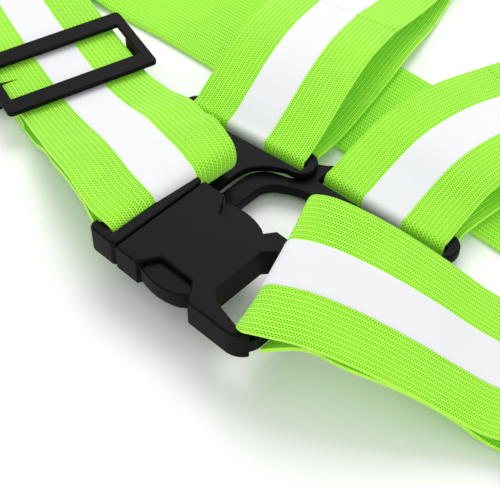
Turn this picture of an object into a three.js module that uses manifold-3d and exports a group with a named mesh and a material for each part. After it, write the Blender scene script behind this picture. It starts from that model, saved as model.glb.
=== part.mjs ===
// A reflective harness vest of elastic strap, laid flat on its back and buckled at the front.
// Millimetres. +X runs along the buckle from plug to socket, +Y runs up the vest, +Z is up.
import * as THREE from 'three';
import { mergeVertices } from 'three/addons/utils/BufferGeometryUtils.js';
import Module from 'manifold-3d';

const wasm = await Module();
wasm.setup();

// ---------------------------------------------------------------- driving dimensions
const GAP = 0.3;                    // clearance kept between neighbouring pieces
const STRAP_WIDTH = 40;
const STRAP_THICK = 1.4;
const TAPE_WIDTH = 13;
const TAPE_THICK = 0.25;
const HALF_STRAP = STRAP_WIDTH / 2;

// Heights of the layers, from the ground up.
const GROUND_Z = TAPE_THICK + GAP + STRAP_THICK / 2;       // middle of a strap lying on the ground
const RIGHT_PLATE_Z = [2.3, 5.6];
const LEFT_PLATE_Z = [5.9, 8.1];
const BUCKLE_Z = [8.5, 17.3];
const UPPER_Z = 6.6;                // middle of a front strap where it runs through its slider
const OVER_BELT_Z = 3.6;            // middle of a strap that lies across the rear belt
const HANGER_BELT_Z = 2.95;         // middle of the rear belt inside a hanger

// Buckle.
const BUCKLE_HALF = 16;
const PLUG_X = [-28, -17.9];
const PLUG_BAR_X = -24.9;           // inner edge of the plug's strap bar
const PLUG_SLOT_X = -21.2;
const SOCKET_X = [-17.6, 27.4];
const SOCKET_SLOT_X = [10.4, 22.4];
const SOCKET_CORNER = 6.5;
const CAVITY_Z = [9.8, 16.0];
const CAVITY_HALF = 14.2;
const CAVITY_END_X = 8.8;
const PRONG_Z = [10.2, 15.6];
const BAR_Z = [10.9, 14.9];
const BAR_HALF = 13;                // half length of each strap bar between its arms
const WINDOW = { outer: [-10.1, 8.4], inner: [-6.6, 4.4], waist: 10.4 };
const EDGE = 0.7;                   // rounding of the moulded edges

// Yoke plates, each with a slot for one shoulder strap.
const SLOT_HALF = 20.9;
const SLOT_FRAME_HALF = 23.5;
const LEFT_SLOT = { x: -28.5, y: 43.8, turn: 6 };
const RIGHT_SLOT = { x: 17.5, y: 50, turn: 2.6 };
const RIVET = { x: -11.5, y: -1, shank: 2.2, head: 4, running: 0.08 };
const RIVET_HEAD_Z = [9.4, 9.9];    // let into the floor of the socket
const STEM_X = [-29, -19.5];        // sides of the left plate's stem
const RAIL_X = [-19.2, -12.8];      // sides of the right plate's stem

// Strap sliders and the rear hangers.
const SLIDER = { halfLength: 13.8, barWidth: 6, railInner: 20.8, railOuter: 24, centreHalf: 2.2 };
const HANGER = { half: 24, barInner: 20.6, strapSlotY: 24, strapBarY: [28.4, 31.4] };

// Courses of the straps: headings are counted from +X, and run away from the buckle or yoke.
const BELT_RIGHT_HEADING = 25;
const BELT_LEFT_HEADING = 163.6;
const SHOULDER_LEFT_HEADING = 101.2;
const SHOULDER_RIGHT_HEADING = 75.5;
const BELT_RIGHT_START = { x: 18, y: 2.7 };
const BELT_LEFT_START = { x: -22.4, y: 8 };
const SHOULDER_LEFT_START = { x: -42, y: 98 };
const SHOULDER_RIGHT_START = { x: 24, y: 106 };
const BELT_RIGHT_SLIDER = 81;       // distance of each slider's middle along its course
const BELT_LEFT_SLIDER = 69;
const SHOULDER_LEFT_SLIDER = 82;
const SHOULDER_RIGHT_SLIDER = 92;
const SHOULDER_FOLD = { x: 105, y: 400 };
const SIDE_FOLD_X = 184;
const REAR_BELT_Y = 83;
const HANGER_X = 142;
const HANGER_Y = 79;

const COLOURS = {
  elastic: { color: 0x7be81e, roughness: 0.85, metalness: 0 },
  tape: { color: 0xc4c6ca, roughness: 0.45, metalness: 0.2 },
  plastic: { color: 0x1b1b1c, roughness: 0.6, metalness: 0 },
  steel: { color: 0x9a9c9f, roughness: 0.35, metalness: 0.9 },
  thread: { color: 0xb9ef3a, roughness: 0.8, metalness: 0 },
};

// ---------------------------------------------------------------- solid helpers
function toSolid(geometry) {
  const bare = geometry.clone();
  bare.deleteAttribute('normal');
  bare.deleteAttribute('uv');
  const merged = mergeVertices(bare, 1e-4);
  const vertProperties = new Float32Array(merged.attributes.position.array);
  const triVerts = new Uint32Array(merged.index.array);
  return new wasm.Manifold(new wasm.Mesh({ numProp: 3, vertProperties, triVerts }));
}

function toGeometry(solid) {
  const mesh = solid.getMesh();
  const geometry = new THREE.BufferGeometry();
  geometry.setAttribute('position', new THREE.Float32BufferAttribute(mesh.vertProperties, 3));
  geometry.setIndex(new THREE.Uint32BufferAttribute(mesh.triVerts, 1));
  return geometry;
}

// A flat shape raised from one height to another, with its edges rounded over in steps.
function slab(shape, [low, high], round = 0, { curveSegments = 6, steps = 2 } = {}) {
  const geometry = new THREE.ExtrudeGeometry(shape, {
    depth: high - low - 2 * round,
    bevelEnabled: round > 0,
    bevelThickness: round,
    bevelSize: round,
    bevelOffset: -round,
    bevelSegments: steps,
    curveSegments,
  });
  geometry.translate(0, 0, low + round);
  return toSolid(geometry);
}

function polygon(points) {
  return new THREE.Shape(points.map(([x, y]) => new THREE.Vector2(x, y)));
}

function roundedRectangle([x0, x1], [y0, y1], radius) {
  const shape = new THREE.Shape();
  shape.moveTo(x0 + radius, y0);
  shape.lineTo(x1 - radius, y0);
  shape.absarc(x1 - radius, y0 + radius, radius, -Math.PI / 2, 0);
  shape.absarc(x1 - radius, y1 - radius, radius, 0, Math.PI / 2);
  shape.absarc(x0 + radius, y1 - radius, radius, Math.PI / 2, Math.PI);
  shape.absarc(x0 + radius, y0 + radius, radius, Math.PI, 1.5 * Math.PI);
  return shape;
}

function block([x0, x1], [y0, y1], [z0, z1]) {
  const geometry = new THREE.BoxGeometry(x1 - x0, y1 - y0, z1 - z0);
  geometry.translate((x0 + x1) / 2, (y0 + y1) / 2, (z0 + z1) / 2);
  return toSolid(geometry);
}

function disc(x, y, radius, [low, high], segments = 32) {
  const geometry = new THREE.CylinderGeometry(radius, radius, high - low, segments);
  geometry.rotateX(Math.PI / 2);
  geometry.translate(x, y, (low + high) / 2);
  return toSolid(geometry);
}

// ---------------------------------------------------------------- strap helpers
// One station of a strap: its middle, the way its width runs, its half width and the height that
// its left edge gains over its middle. Width runs from the strap's right edge to its left edge.
function station(x, y, z, widthAngle, half = HALF_STRAP, rise = 0) {
  const angle = THREE.MathUtils.degToRad(widthAngle);
  const across = new THREE.Vector3(Math.cos(angle) * half, Math.sin(angle) * half, rise);
  const middle = new THREE.Vector3(x, y, z);
  return { right: middle.clone().sub(across), left: middle.clone().add(across) };
}

// A closed band between two heights over the surface that the stations span.
function band(stations, { low, high, from = 0, to = 1, rows = 2, steps = 2 }) {
  const rightEdge = new THREE.CatmullRomCurve3(stations.map((s) => s.right));
  const leftEdge = new THREE.CatmullRomCurve3(stations.map((s) => s.left));
  const length = (stations.length - 1) * steps;
  const width = rows + 1;
  const vertices = [];
  for (const height of [high, low]) {
    for (let i = 0; i <= length; i += 1) {
      const t = i / length;
      const right = rightEdge.getPoint(t);
      const left = leftEdge.getPoint(t);
      const across = left.clone().sub(right);
      for (let j = 0; j <= rows; j += 1) {
        const share = from + ((to - from) * j) / rows;
        const along = rightEdge.getTangent(t).lerp(leftEdge.getTangent(t), share);
        const normal = along.cross(across).normalize();
        vertices.push(right.clone().lerp(left, share).addScaledVector(normal, height));
      }
    }
  }
  const top = (i, j) => i * width + j;
  const bottom = (i, j) => (length + 1 + i) * width + j;
  const faces = [];
  for (let i = 0; i < length; i += 1) {
    for (let j = 0; j < rows; j += 1) {
      faces.push([top(i, j), top(i + 1, j), top(i + 1, j + 1)]);
      faces.push([top(i, j), top(i + 1, j + 1), top(i, j + 1)]);
      faces.push([bottom(i, j), bottom(i + 1, j + 1), bottom(i + 1, j)]);
      faces.push([bottom(i, j), bottom(i, j + 1), bottom(i + 1, j + 1)]);
    }
  }
  const rim = [];
  for (let i = 0; i < length; i += 1) rim.push([i, 0]);
  for (let j = 0; j < rows; j += 1) rim.push([length, j]);
  for (let i = length; i > 0; i -= 1) rim.push([i, rows]);
  for (let j = rows; j > 0; j -= 1) rim.push([0, j]);
  rim.forEach(([i, j], k) => {
    const [nextI, nextJ] = rim[(k + 1) % rim.length];
    faces.push([bottom(i, j), bottom(nextI, nextJ), top(nextI, nextJ)]);
    faces.push([bottom(i, j), top(nextI, nextJ), top(i, j)]);
  });
  const geometry = new THREE.BufferGeometry();
  const flat = vertices.flatMap((v) => [v.x, v.y, v.z]);
  geometry.setAttribute('position', new THREE.Float32BufferAttribute(flat, 3));
  geometry.setIndex(faces.flat());
  return geometry;
}

function strapBand(stations, rows) {
  return band(stations, { low: -STRAP_THICK / 2, high: STRAP_THICK / 2, rows });
}

// The reflective tape lies along the middle of the strap's outer face.
function tapeBand(stations) {
  const low = STRAP_THICK / 2 + GAP;
  const share = TAPE_WIDTH / STRAP_WIDTH / 2;
  return band(stations, { low, high: low + TAPE_THICK, from: 0.5 - share, to: 0.5 + share, rows: 1 });
}

// ---------------------------------------------------------------- the scene's pieces
const vest = new THREE.Group();
vest.name = 'high_visibility_vest';

function addPiece(name, geometry, look) {
  const mesh = new THREE.Mesh(geometry, new THREE.MeshStandardMaterial(COLOURS[look]));
  mesh.name = name;
  vest.add(mesh);
  return mesh;
}

function addStrap(name, stations, { tapeStations = stations, rows = 2 } = {}) {
  addPiece(name, strapBand(stations, rows), 'elastic');
  addPiece(`${name}_tape`, tapeBand(tapeStations), 'tape');
}

// ---------------------------------------------------------------- buckle
function socketOutline() {
  const far = [
    [SOCKET_X[0], BUCKLE_HALF],
    [WINDOW.outer[0], BUCKLE_HALF],
    [WINDOW.inner[0], WINDOW.waist],
    [WINDOW.inner[1], WINDOW.waist],
    [WINDOW.outer[1], BUCKLE_HALF],
  ];
  const shape = new THREE.Shape();
  shape.moveTo(SOCKET_X[0], -BUCKLE_HALF);
  far.slice(1).forEach(([x, y]) => shape.lineTo(x, -y));
  const cornerX = SOCKET_X[1] - SOCKET_CORNER;
  const cornerY = BUCKLE_HALF - SOCKET_CORNER;
  shape.absarc(cornerX, -cornerY, SOCKET_CORNER, -Math.PI / 2, 0);
  shape.absarc(cornerX, cornerY, SOCKET_CORNER, 0, Math.PI / 2);
  far.reverse().forEach(([x, y]) => shape.lineTo(x, y));
  return shape;
}

function barRecesses([x0, x1]) {
  const over = block([x0, x1], [-BAR_HALF, BAR_HALF], [BAR_Z[1], BUCKLE_Z[1] + 1]);
  const under = block([x0, x1], [-BAR_HALF, BAR_HALF], [BUCKLE_Z[0] - 1, BAR_Z[0]]);
  return over.add(under);
}

function buildSocket() {
  const cavityShape = roundedRectangle([SOCKET_X[0] - 2, CAVITY_END_X], [-CAVITY_HALF, CAVITY_HALF], 1.5);
  const slotShape = polygon([
    [SOCKET_SLOT_X[0], -8], [SOCKET_SLOT_X[0] + 2.5, -10.8], [SOCKET_SLOT_X[1], -BAR_HALF],
    [SOCKET_SLOT_X[1], BAR_HALF], [SOCKET_SLOT_X[0] + 2.5, 10.8], [SOCKET_SLOT_X[0], 8],
  ]);
  const solid = slab(socketOutline(), BUCKLE_Z, EDGE)
    .subtract(slab(cavityShape, CAVITY_Z))
    .subtract(slab(slotShape, [BUCKLE_Z[0] - 1, BUCKLE_Z[1] + 1]))
    .subtract(barRecesses([SOCKET_SLOT_X[1], SOCKET_X[1] + 1]))
    .subtract(disc(RIVET.x, RIVET.y, RIVET.shank + RIVET.running, [0, CAVITY_Z[0] + 1]))
    .subtract(disc(RIVET.x, RIVET.y, RIVET.head + GAP, [RIVET_HEAD_Z[0] - GAP, CAVITY_Z[0] + 1]));
  addPiece('buckle_socket', toGeometry(solid), 'plastic');
}

function buildPlug() {
  const base = slab(roundedRectangle(PLUG_X, [-BUCKLE_HALF, BUCKLE_HALF], 2), BUCKLE_Z, EDGE);
  const slot = block([PLUG_BAR_X, PLUG_SLOT_X], [-BAR_HALF, BAR_HALF], [BUCKLE_Z[0] - 1, BUCKLE_Z[1] + 1]);
  const tongue = block([PLUG_X[1] - 1, 5], [-2.1, 2.1], PRONG_Z);
  const roots = [-1, 1].map((side) => {
    const ys = [side * 9.6, side * 13.9].sort((a, b) => a - b);
    return block([PLUG_X[1] - 1, PLUG_X[1] + 1.2], ys, PRONG_Z);
  });
  const solid = base
    .subtract(slot)
    .subtract(barRecesses([PLUG_X[0] - 1, PLUG_BAR_X]))
    .add(tongue)
    .add(roots[0])
    .add(roots[1]);
  addPiece('buckle_plug', toGeometry(solid), 'plastic');
}

// A spring arm of the plug; its tab fills the socket's side window and its shoulder locks there.
function buildProng(name, side) {
  const arm = new THREE.Shape();
  const start = PLUG_X[1] + 1.2 + GAP;
  arm.moveTo(start, 10.4);
  arm.lineTo(start, 13.8);
  arm.lineTo(-8.2, 13.8);
  arm.lineTo(-8.9, 15.5);
  arm.quadraticCurveTo(-1.5, 17.6, 4.2, 15);
  arm.quadraticCurveTo(8.2, 12.4, 8.2, 9.2);
  arm.lineTo(6.6, 7.4);
  arm.quadraticCurveTo(-1, 9.2, -7, 10.4);
  const geometry = toGeometry(slab(arm, PRONG_Z, 0.5));
  if (side < 0) geometry.rotateX(Math.PI);
  if (side < 0) geometry.translate(0, 0, PRONG_Z[0] + PRONG_Z[1]);
  addPiece(name, geometry, 'plastic');
}

// ---------------------------------------------------------------- yoke plates
function inSlotFrame(slot, u, v) {
  const turn = THREE.MathUtils.degToRad(slot.turn);
  return [
    slot.x + Math.cos(turn) * u - Math.sin(turn) * v,
    slot.y + Math.sin(turn) * u + Math.cos(turn) * v,
  ];
}

// The long ring that holds a shoulder strap: a stadium turned with its slot.
function slotRing(slot, heights, ringHalf) {
  const ring = roundedRectangle([-SLOT_FRAME_HALF, SLOT_FRAME_HALF], [-ringHalf, ringHalf], ringHalf - 0.1);
  return slab(ring, heights, 0.5).rotate([0, 0, slot.turn]).translate([slot.x, slot.y, 0]);
}

function slotHole(slot, [v0, v1]) {
  return block([-SLOT_HALF, SLOT_HALF], [v0, v1], [0, BUCKLE_Z[0]])
    .rotate([0, 0, slot.turn])
    .translate([slot.x, slot.y, 0]);
}

function buildLeftPlate() {
  const web = new THREE.Shape();
  const [leftX, leftY] = inSlotFrame(LEFT_SLOT, -10, -3.6);
  const [rightX, rightY] = inSlotFrame(LEFT_SLOT, 19, -4.2);
  web.moveTo(-14.5, 8);
  web.bezierCurveTo(-18.5, 13, STEM_X[1], 16, STEM_X[1], 22);
  web.lineTo(STEM_X[1], 30);
  web.bezierCurveTo(STEM_X[1], 36, -15, 38.6, rightX, rightY);
  web.lineTo(leftX, leftY);
  web.bezierCurveTo(-34, 36, STEM_X[0], 33, STEM_X[0], 28);
  web.lineTo(STEM_X[0], 20);
  web.bezierCurveTo(STEM_X[0], 10, -24, 0, -15.5, -5.4);
  web.absarc(RIVET.x, RIVET.y, 5.9, 1.25 * Math.PI, 2.4 * Math.PI);
  const solid = slab(web, LEFT_PLATE_Z, 0.5)
    .add(slotRing(LEFT_SLOT, LEFT_PLATE_Z, 4.9))
    .subtract(slotHole(LEFT_SLOT, [-2.9, 0.4]))
    .subtract(disc(RIVET.x, RIVET.y, RIVET.shank + RIVET.running, [0, BUCKLE_Z[0]]));
  addPiece('yoke_left_plate', toGeometry(solid), 'plastic');
}

function buildRightPlate() {
  const [tipX, tipY] = inSlotFrame(RIGHT_SLOT, 3 - SLOT_FRAME_HALF, 4);
  const [lowX, lowY] = inSlotFrame(RIGHT_SLOT, 21, -3);
  const web = new THREE.Shape();
  web.absarc(RIVET.x, RIVET.y, 5.6, Math.PI, 1.75 * Math.PI);
  web.quadraticCurveTo(-5, 0, -8.5, 6);
  web.bezierCurveTo(-11.5, 12, RAIL_X[1], 14, RAIL_X[1], 20);
  web.lineTo(RAIL_X[1], 31);
  web.quadraticCurveTo(RAIL_X[1], 35, -8.6, 37);
  web.quadraticCurveTo(-5, 39.7, 2, 40.2);
  web.lineTo(24, 42.5);
  web.quadraticCurveTo(34, 43.6, lowX, lowY);
  web.lineTo(tipX, tipY);
  web.lineTo(-7.4, 50.5);
  web.lineTo(-7.4, 45);
  web.quadraticCurveTo(-7.4, 41.2, -12, 40.2);
  web.bezierCurveTo(-18, 38.8, RAIL_X[0], 35, RAIL_X[0], 30);
  web.lineTo(RAIL_X[0], 14);
  web.quadraticCurveTo(-19.5, 6, RIVET.x - 5.6, RIVET.y);
  const solid = slab(web, RIGHT_PLATE_Z, 0.5)
    .add(slotRing(RIGHT_SLOT, RIGHT_PLATE_Z, 4.6))
    .subtract(slotHole(RIGHT_SLOT, [-3.9, -0.4]))
    .subtract(disc(RIVET.x, RIVET.y, RIVET.shank + RIVET.running, [0, BUCKLE_Z[0]]));
  addPiece('yoke_right_plate', toGeometry(solid), 'plastic');
}

// The rivet holds both plates under the socket and is the pivot of the left one.
function buildRivet() {
  const { x, y, shank, head } = RIVET;
  const solid = disc(x, y, shank, [0.6, RIVET_HEAD_Z[1] - 0.1])
    .add(disc(x, y, head, RIVET_HEAD_Z))
    .add(disc(x, y, shank + 1.1, [0.3, 1.0]));
  addPiece('yoke_rivet', toGeometry(solid), 'steel');
  const ring = disc(x, y, head, [1.3, 2.0]).subtract(disc(x, y, shank + 0.2, [1, 2.3]));
  addPiece('yoke_washer', toGeometry(ring), 'steel');
}

// ---------------------------------------------------------------- sliders and hangers
// A slider lies with its end bars over the front strap and its centre bar under it. The height
// zero of its own frame is the middle of the front strap.
function sliderSolid() {
  const { halfLength, barWidth, railInner, railOuter, centreHalf } = SLIDER;
  const endBarZ = [1.6, 3.4];
  const centreBarZ = [-4.3, -2.7];
  const plain = { curveSegments: 3, steps: 1 };
  const ends = [-1, 1].map((side) => {
    const xs = [side * (halfLength - barWidth), side * halfLength].sort((a, b) => a - b);
    return slab(roundedRectangle(xs, [-railOuter, railOuter], 2), endBarZ, 0.4, plain);
  });
  const rails = [-1, 1].map((side) => {
    const ys = [side * railInner, side * railOuter].sort((a, b) => a - b);
    const upper = slab(roundedRectangle([-halfLength, halfLength], ys, 1.5), endBarZ, 0.4, plain);
    return upper.add(block([-centreHalf, centreHalf], ys, [centreBarZ[0], endBarZ[0] + 0.8]));
  });
  const centre = block([-centreHalf, centreHalf], [-railInner - 1, railInner + 1], centreBarZ);
  return centre.add(ends[0]).add(ends[1]).add(rails[0]).add(rails[1]);
}

function addSlider(name, x, y, turn) {
  const slider = addPiece(name, toGeometry(sliderSolid()), 'plastic');
  slider.position.set(x, y, UPPER_Z);
  slider.rotation.z = THREE.MathUtils.degToRad(turn);
}

// A hanger carries the rear end of a shoulder strap and rides along the rear belt. The height
// zero of its own frame is the middle of the rear belt.
function hangerSolid() {
  const { half, barInner, strapBarY } = HANGER;
  const { railInner, railOuter, centreHalf } = SLIDER;
  const endBarZ = [1.0, 2.6];
  const centreBarZ = [-2.85, -1.65];
  const strapBarZ = [-0.75, 1.25];
  const outline = roundedRectangle([-half, half], [-railOuter, strapBarY[1]], 2.5);
  const beltWindows = [-1, 1].map((side) => {
    const xs = [side * barInner, 0].sort((a, b) => a - b);
    return block(xs, [-railInner, railInner], [-5, 5]);
  });
  const frame = slab(outline, [endBarZ[0] - 1.2, endBarZ[1]], 0.4, { curveSegments: 3, steps: 1 })
    .subtract(beltWindows[0])
    .subtract(beltWindows[1])
    .subtract(block([-half - 1, half + 1], [-railInner, railInner], [-5, endBarZ[0]]))
    .subtract(block([-SLOT_HALF, SLOT_HALF], [HANGER.strapSlotY, strapBarY[0]], [-5, 5]))
    .subtract(block([-SLOT_HALF, SLOT_HALF], [HANGER.strapSlotY, strapBarY[1] + 1], [strapBarZ[1], 5]));
  const strapBar = block([-SLOT_HALF - 1, SLOT_HALF + 1], strapBarY, strapBarZ);
  const posts = [-1, 1].map((side) => {
    const ys = [side * railInner, side * railOuter].sort((a, b) => a - b);
    return block([-centreHalf, centreHalf], ys, [centreBarZ[0], endBarZ[0] + 0.6]);
  });
  const centre = block([-centreHalf, centreHalf], [-railInner - 1, railInner + 1], centreBarZ);
  return frame.add(strapBar).add(centre).add(posts[0]).add(posts[1]);
}

function addHanger(name, x) {
  const hanger = addPiece(name, toGeometry(hangerSolid()), 'plastic');
  hanger.position.set(x, HANGER_Y, HANGER_BELT_Z);
}

// A bar tack: the short block of thread that closes a sewn strap end.
function addStitch(name, x, y, z, turn) {
  const stitch = addPiece(name, toGeometry(block([-1, 1], [-14, 14], [0, 0.4])), 'thread');
  stitch.position.set(x, y, z);
  stitch.rotation.z = THREE.MathUtils.degToRad(turn);
}

// ---------------------------------------------------------------- courses of the straps
function onCourse(start, heading, distance) {
  const angle = THREE.MathUtils.degToRad(heading);
  return { x: start.x + Math.cos(angle) * distance, y: start.y + Math.sin(angle) * distance };
}

// A direction round a bar's section, pushed out at the corners so that the strap clears them.
function squaredTurn(degrees) {
  const angle = THREE.MathUtils.degToRad(degrees);
  return [Math.cos(angle), Math.sin(angle)].map((part) => Math.sign(part) * Math.abs(part) ** 0.4);
}

// A front strap's far end loops over the slider's centre bar and is sewn to itself. The list runs
// from the sewn tail, round the bar and back along the ground; distances count towards the fitting.
function sewnEnd(slider, heading) {
  const tail = [[13, 3.05], [8.5, 3.3], [4.5, 4.6], [1.6, 4.9], [-1.6, 4.9], [-3.4, 4.2], [-4.1, 3.1]];
  const ground = [[-3.4, 2.0], [-1.6, 1.3], [3, GROUND_Z], [12, GROUND_Z]];
  const place = ([distance, z]) => {
    const { x, y } = onCourse(slider, heading + 180, distance);
    return station(x, y, z, heading + 90);
  };
  return { tail: tail.map(place), ground: ground.map(place) };
}

// Everything along one front strap at its slider: the slider, the return layer and its bar tack.
function addAdjuster(name, slider, heading, reach) {
  const { tail, ground } = sewnEnd(slider, heading);
  const run = ground.concat(reach);
  addStrap(`${name}_return`, tail.concat(run), { tapeStations: run.slice(2) });
  addSlider(`${name}_slider`, slider.x, slider.y, heading);
  const tack = onCourse(slider, heading + 180, 10);
  addStitch(`${name}_stitch`, tack.x, tack.y, 4.2, heading);
}

function buildRightBelt() {
  const across = 90;
  const slanted = BELT_RIGHT_HEADING + 90;
  const narrow = 10.5;            // half width of the strap inside the socket's slot
  const course = (x, z, angle, half, rise) => {
    const { x: x0, y: y0 } = BELT_RIGHT_START;
    const y = y0 + (x - x0) * Math.tan(THREE.MathUtils.degToRad(BELT_RIGHT_HEADING));
    return station(x, y, z, angle, half, rise);
  };
  const bar = (x, z) => station(x, 0, z, across, narrow);
  const upper = [
    bar(26.6, 9.8), bar(23.4, 9.8), bar(21.4, 10.3), bar(21, 12.4), bar(21, 15), bar(20.6, 17.6),
    course(18.6, 21.4, slanted, 16.5, 3.2), course(19.8, 24.2, slanted, 18, 3.8),
    course(23, 25.9, slanted, 19.5, 4),
    course(28, 26.2, slanted, HALF_STRAP, 3.8), course(41, 22.6, slanted, HALF_STRAP, 2.6),
    course(54, 16.2, slanted, HALF_STRAP, 1.2), course(64, 10.4, slanted), course(71, 7.2, slanted),
    course(78, UPPER_Z, slanted), course(104, UPPER_Z, slanted), station(125, 50.6, UPPER_Z, 109),
    station(150, 57.4, UPPER_Z, 100), station(SIDE_FOLD_X, 60.5, UPPER_Z, across),
  ];
  addStrap('belt_right_upper', upper, { rows: 6 });
  const slider = onCourse(BELT_RIGHT_START, BELT_RIGHT_HEADING, BELT_RIGHT_SLIDER);
  const reach = [
    course(72, 2.4, slanted), course(65, 5.4, slanted), course(58, 8.8, slanted),
    course(50, 12, slanted), course(41, 13.6, 110, 17.5), course(33.4, 12, 98, 13.5), bar(27.4, 9.8),
  ];
  addAdjuster('belt_right', slider, BELT_RIGHT_HEADING, reach);
}

function buildLeftBelt() {
  const across = -90;
  const slanted = BELT_LEFT_HEADING + 90;
  const narrow = 11;
  const course = (x, z, half, rise) => {
    const { x: x0, y: y0 } = BELT_LEFT_START;
    const y = y0 + (x - x0) * Math.tan(THREE.MathUtils.degToRad(BELT_LEFT_HEADING));
    return station(x, y, z, slanted, half, rise);
  };
  const bar = (x, z) => station(x, 1.6, z, across, narrow);
  const upper = [
    bar(-27.4, 9.8), bar(-25.6, 9.8), bar(-24.1, 10.2), bar(-23.7, 12.9), bar(-24.1, 15.6),
    bar(-25.8, 16.2), bar(-28.4, 17.2), station(-32.4, 7, 18.6, -100, 15), station(-38, 11.2, 18.2, -104, 18.5),
    course(-46, 15.6), course(-54, 13), course(-61, 10.6), course(-68, 8), course(-74, 6.8),
    course(-108, UPPER_Z), station(-130, 40.6, UPPER_Z, -107), station(-155, 50.4, UPPER_Z, -105),
    station(-SIDE_FOLD_X, 59.5, UPPER_Z, -90),
  ];
  addStrap('belt_left_upper', upper);
  const slider = onCourse(BELT_LEFT_START, BELT_LEFT_HEADING, BELT_LEFT_SLIDER);
  const reach = [
    course(-68, 2.2), course(-61, 5), course(-52, 8.4), course(-44, 10.8),
    station(-38, 9.8, 12, -102, 17.5), station(-32.6, 5.6, 11.4, -97, 13.5), bar(-28.2, 9.6),
  ];
  addAdjuster('belt_left', slider, BELT_LEFT_HEADING, reach);
}

// The rear belt lies face down: it dips to the ground in the middle and rises through a hanger on
// each side. Its side folds carry it up and over into the front belt.
function buildRearBelt() {
  const across = -90;
  const rightHalf = [
    [45, REAR_BELT_Y, GROUND_Z], [80, 82, GROUND_Z], [104, 80.2, GROUND_Z], [112, 79.6, 2.1],
    [124, HANGER_Y, HANGER_BELT_Z], [HANGER_X, HANGER_Y, HANGER_BELT_Z],
    [168, HANGER_Y, HANGER_BELT_Z], [176, 77, 2.5], [SIDE_FOLD_X - 1, 73, 1.9],
  ];
  const leftHalf = rightHalf.map(([x, y, z]) => [-x, y, z]).reverse();
  const rear = [...leftHalf, [0, REAR_BELT_Y, GROUND_Z], ...rightHalf];
  addStrap('belt_rear', rear.map(([x, y, z]) => station(x, y, z, across)));
  const fold = (side, topY) => [
    [SIDE_FOLD_X + 0.5, topY, UPPER_Z], [SIDE_FOLD_X + 4.5, topY + 2, 6.1],
    [SIDE_FOLD_X + 6.6, topY + 5, 4.2], [SIDE_FOLD_X + 4.5, topY + 9, 2.3],
    [SIDE_FOLD_X - 0.5, 72.6, 1.9],
  ].map(([x, y, z]) => station(side * x, y, z, across));
  addStrap('belt_left_fold', fold(-1, 59.6));
  addStrap('belt_right_fold', fold(1, 60.6).reverse());
}

// One shoulder strap: the loop round its yoke slot, the raised front layer, the shoulder fold and
// the rear run down to its hanger. side is -1 for the left strap and 1 for the right one.
function buildShoulder(name, side, { slot, bar, loopRun, start, heading, slider, returnRun }) {
  const inSlot = (v, z) => station(...inSlotFrame(slot, 0, v), z, slot.turn + 180);
  const bend = [-90, -135, -180, -225, -270].map((degrees) => {
    const [out, up] = squaredTurn(degrees);
    return inSlot(bar.v + out * bar.radius, bar.z + up * bar.radius);
  });
  const placed = ([x, y, z, angle]) => station(x, y, z, angle);
  const loop = [inSlot(bar.v + 2.6, bar.z - bar.radius), ...bend, ...loopRun.map(placed)];
  addStrap(`${name}_loop`, loop);

  const at = (distance, z) => {
    const { x, y } = onCourse(start, heading, distance);
    return station(x, y, z, heading + 90);
  };
  const [, , loopEndZ] = loopRun[loopRun.length - 1];
  const upper = [
    at(0.4, loopEndZ), at(14, (loopEndZ + UPPER_Z) / 2), at(28, UPPER_Z + 0.8), at(42, UPPER_Z),
    at(slider, UPPER_Z), at(160, UPPER_Z), at(260, UPPER_Z),
    station(side * SHOULDER_FOLD.x, SHOULDER_FOLD.y - 1.5, UPPER_Z, 180),
  ];
  addStrap(`${name}_upper`, upper);
  addAdjuster(name, onCourse(start, heading, slider), heading, returnRun.map(placed));

  const foldX = side * SHOULDER_FOLD.x;
  const hangX = side * HANGER_X;
  const barY = HANGER_Y + (HANGER.strapBarY[0] + HANGER.strapBarY[1]) / 2;
  const run = [
    [foldX, SHOULDER_FOLD.y - 1, UPPER_Z], [foldX, SHOULDER_FOLD.y + 1.8, 5.8],
    [foldX, SHOULDER_FOLD.y + 3, 3.9], [foldX, SHOULDER_FOLD.y + 1.8, 2],
    [foldX, SHOULDER_FOLD.y - 3, GROUND_Z], [foldX + side * 1.3, SHOULDER_FOLD.y - 14, GROUND_Z],
    [foldX + side * 12, 300, GROUND_Z],
    [foldX + side * 26, 190, GROUND_Z], [foldX + side * 35, 135, GROUND_Z],
    [hangX - side * 0.6, barY + 10, GROUND_Z], [hangX, barY, GROUND_Z], [hangX, barY - 1.9, 1.4],
  ];
  const end = [
    [hangX, barY - 2.7, 3.2], [hangX, barY - 1.9, 5], [hangX, barY, 5.25], [hangX, barY + 4, 4.4],
    [hangX, barY + 12, 3.1],
  ];
  const place = ([x, y, z]) => station(x, y, z, 180);
  addStrap(`rear_${name}`, run.concat(end).map(place), { tapeStations: run.map(place) });
  addHanger(`rear_${name}_hanger`, hangX);
  addStitch(`rear_${name}_stitch`, hangX, barY + 9.5, 4.5, 90);
}

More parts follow.
